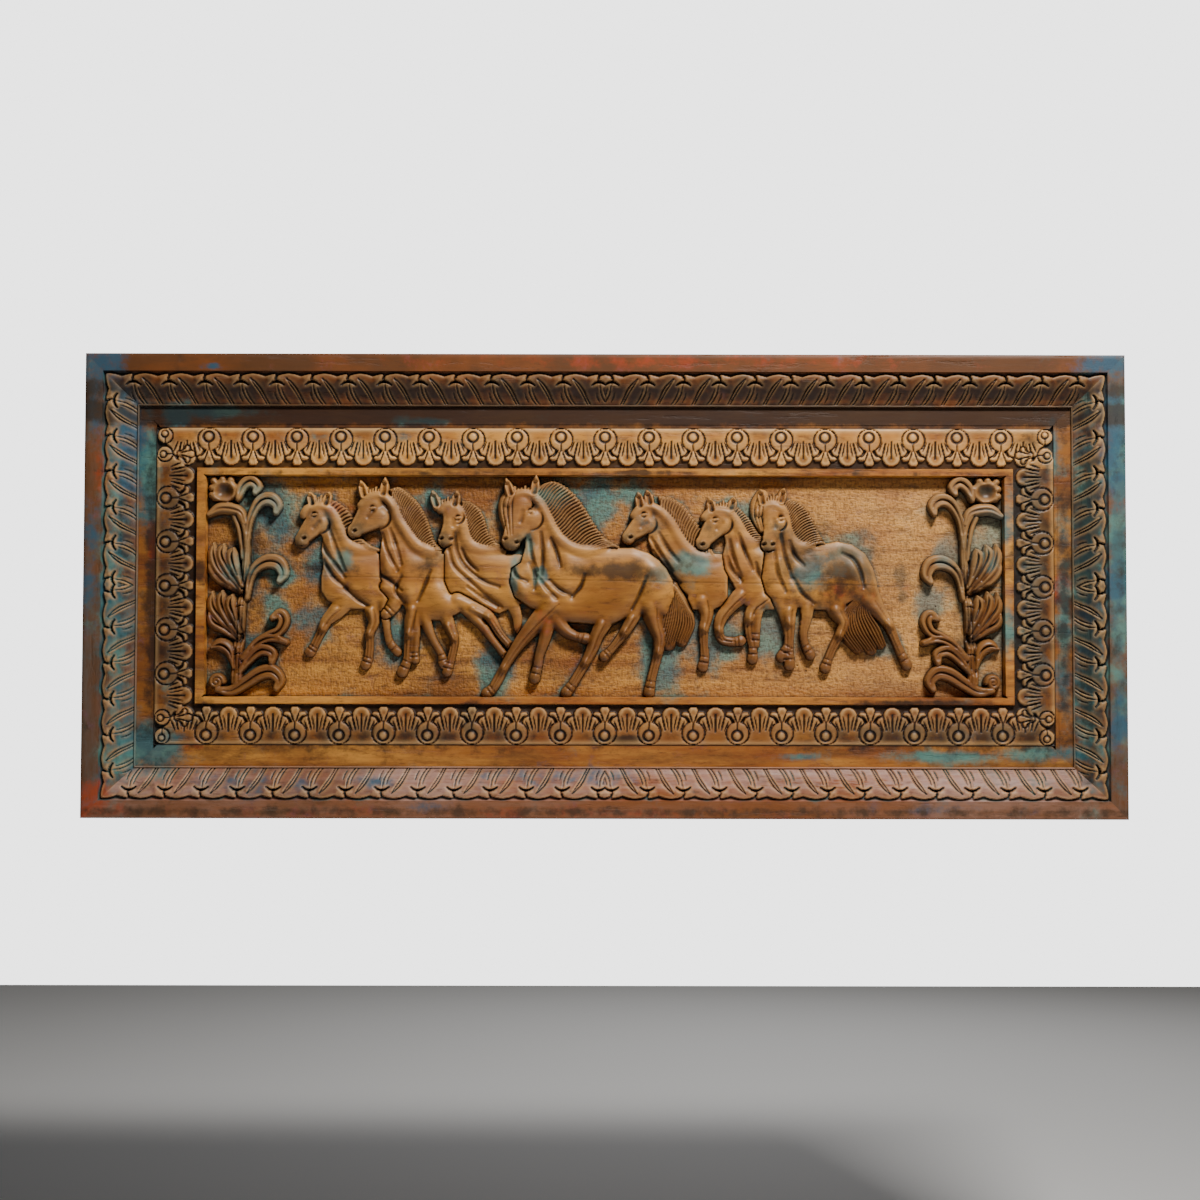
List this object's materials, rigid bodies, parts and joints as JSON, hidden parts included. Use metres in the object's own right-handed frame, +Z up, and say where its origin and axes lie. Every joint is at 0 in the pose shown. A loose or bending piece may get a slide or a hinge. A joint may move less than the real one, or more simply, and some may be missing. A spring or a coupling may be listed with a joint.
{
  "type": "carved wall panel",
  "caption": "Framed wooden wall panel carved in relief with galloping horses between flowering scrolls, inside a carved border and a leaf-carved mitred frame.",
  "frame": {"origin": "middle of the flat back, where the panel lies against the wall", "axes": "+X along the panel's length to the viewer's right, +Y out of the back into the wall, +Z up"},
  "size_m": [1.83, 0.064, 0.816],
  "materials": {
    "panel_wood": "waxed, with worn blue-green paint left in the hollows",
    "frame_wood": "waxed dark wood, with worn paint left in the carving"
  },
  "bodies": {
    "root": {"carved_panel": "panel_wood", "frame_rail_top": "frame_wood", "frame_rail_bottom": "frame_wood", "frame_stile_left": "frame_wood", "frame_stile_right": "frame_wood"}
  },
  "joints": []
}
